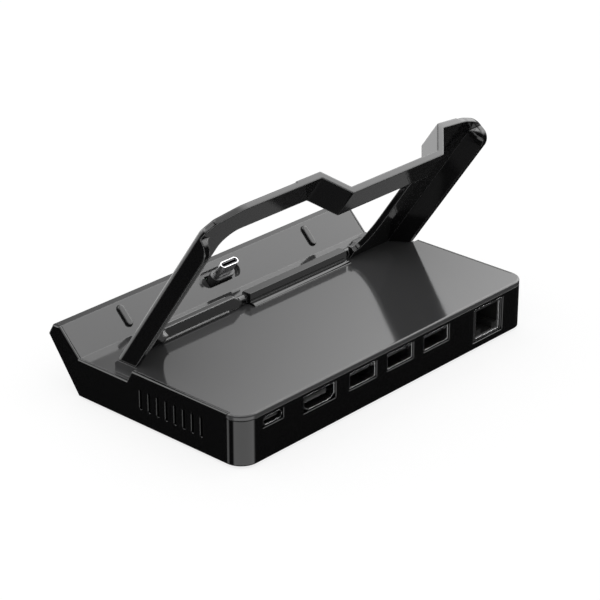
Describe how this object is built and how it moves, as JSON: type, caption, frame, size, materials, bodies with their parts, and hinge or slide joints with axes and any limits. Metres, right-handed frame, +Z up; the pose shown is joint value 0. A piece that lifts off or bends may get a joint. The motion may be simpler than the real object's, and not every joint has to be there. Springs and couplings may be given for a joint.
{
  "type": "handheld console dock",
  "caption": "Low wedge-backed dock with a raised lip, an upright plug in the lip, rear sockets and a leaning folding frame that the console rests against.",
  "frame": {"origin": "middle of the footprint, on the surface that the dock stands on", "axes": "+X along the width, to the power socket's side; +Y to the rear, where the sockets are; +Z up"},
  "size_m": [0.147, 0.0904, 0.082],
  "materials": {
    "case": "piano black gloss",
    "cover": "fine grain, black",
    "rubber": "soft matt black",
    "steel": "zinc plated",
    "nylon": "natural nylon",
    "plated": "bright nickel plated",
    "socket_plastic": "black",
    "contact": "gold plated",
    "board": "green solder mask",
    "chip": "moulded black",
    "aluminium": "satin",
    "thermal": "soft grey-blue",
    "ballast": "bare sheet steel",
    "tape": "white double-sided tape",
    "ribbon": "amber film"
  },
  "bodies": {
    "base": {"housing": "case", "top_panel": "case", "hinge_block": "case", "bottom_cover": "cover", "rubber_feet": "rubber", "lip_pads": "rubber", "plug_boot": "rubber", "cover_screws": "steel", "hinge_screws": "steel", "board_screws": "steel", "plug_screws": "steel", "hinge_washers": "nylon", "plug_shell": "plated", "power_shell": "plated", "video_shell": "plated", "network_shield": "plated", "data_shell_1": "plated", "data_shell_2": "plated", "data_shell_3": "plated", "plug_insert": "socket_plastic", "power_tongue": "socket_plastic", "video_tongue": "socket_plastic", "data_tongue_1": "socket_plastic", "data_tongue_2": "socket_plastic", "data_tongue_3": "socket_plastic", "network_body": "socket_plastic", "network_contacts": "contact", "main_board": "board", "plug_board": "board", "hub_chip": "chip", "video_chip": "chip", "network_chip": "chip", "power_coils": "chip", "capacitors": "aluminium", "heat_spreader": "aluminium", "thermal_pads": "thermal", "ballast_plate": "ballast", "ballast_tapes": "tape", "link_ribbon": "ribbon"},
    "stand": {"stand_frame": "case", "hinge_pins": "steel"}
  },
  "joints": [
    {"name": "stand_hinge", "type": "hinge", "parent": "base", "child": "stand", "pos_m": [0, -0.01375, 0.0209], "axis": [1, 0, 0], "range_deg": [0, 115]}
  ]
}
